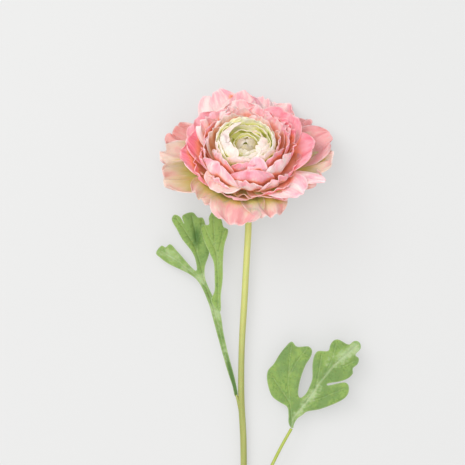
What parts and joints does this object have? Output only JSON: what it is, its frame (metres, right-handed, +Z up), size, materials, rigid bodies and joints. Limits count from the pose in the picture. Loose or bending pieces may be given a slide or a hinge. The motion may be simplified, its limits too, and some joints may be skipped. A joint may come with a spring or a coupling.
{
  "type": "ranunculus flower",
  "caption": "Cut ranunculus lying on its back: a full pink double bloom with a cream-green heart, leaning on a slender stem with divided green leaves.",
  "frame": {"origin": "centre of the bounding box's base, on the surface that the flower lies on", "axes": "+Z up from the surface, +Y along the stem towards the bloom, +X to the right when looking down on it"},
  "size_m": [0.1134, 0.3045, 0.0554],
  "materials": {
    "pink_petal": "soft matte petal",
    "cream_petal": "soft matte petal",
    "stem_green": "smooth satin stalk",
    "leaf_green": "matte leaf"
  },
  "bodies": {
    "root": {"bloom_pink_petals": "pink_petal", "bloom_cream_heart": "cream_petal", "stem": "stem_green", "leaf_left": "leaf_green", "leaf_right": "leaf_green"}
  },
  "joints": []
}
